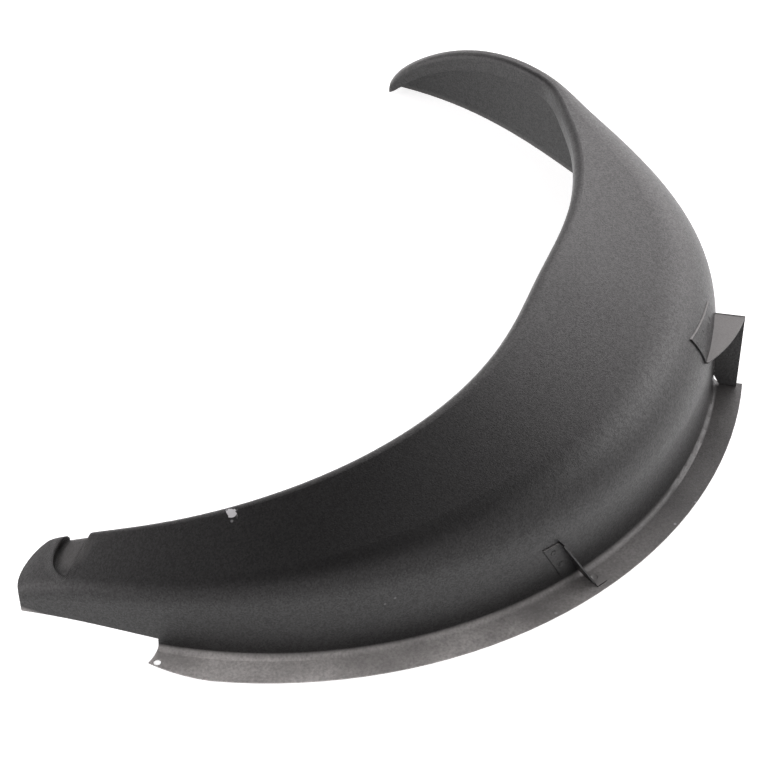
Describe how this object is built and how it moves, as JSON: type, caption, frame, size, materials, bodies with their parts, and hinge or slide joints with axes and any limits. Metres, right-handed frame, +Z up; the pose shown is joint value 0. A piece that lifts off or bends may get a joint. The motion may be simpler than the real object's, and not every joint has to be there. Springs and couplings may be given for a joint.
{
  "type": "wheel arch repair panel",
  "caption": "Pressed steel half of a car's inner wheel arch: a curved wall with a soft shoulder, sloping top, rolled inner lip, foot flange with a hole and welded fixing brackets.",
  "frame": {"origin": "middle of the panel's outline in plan, on the floor that the flange lies on", "axes": "+X from the tail end to the nose end, +Y towards the crown of the arch, +Z up along the wheel's axis"},
  "size_m": [0.7606, 0.4538, 0.1164],
  "materials": {
    "arch_coating": "semi-gloss black coating with a fine grain",
    "bracket_coating": "semi-gloss black coating with a fine grain"
  },
  "bodies": {
    "root": {"arch_shell": "arch_coating", "shelf_bracket": "bracket_coating", "gusset_bracket": "bracket_coating"}
  },
  "joints": []
}
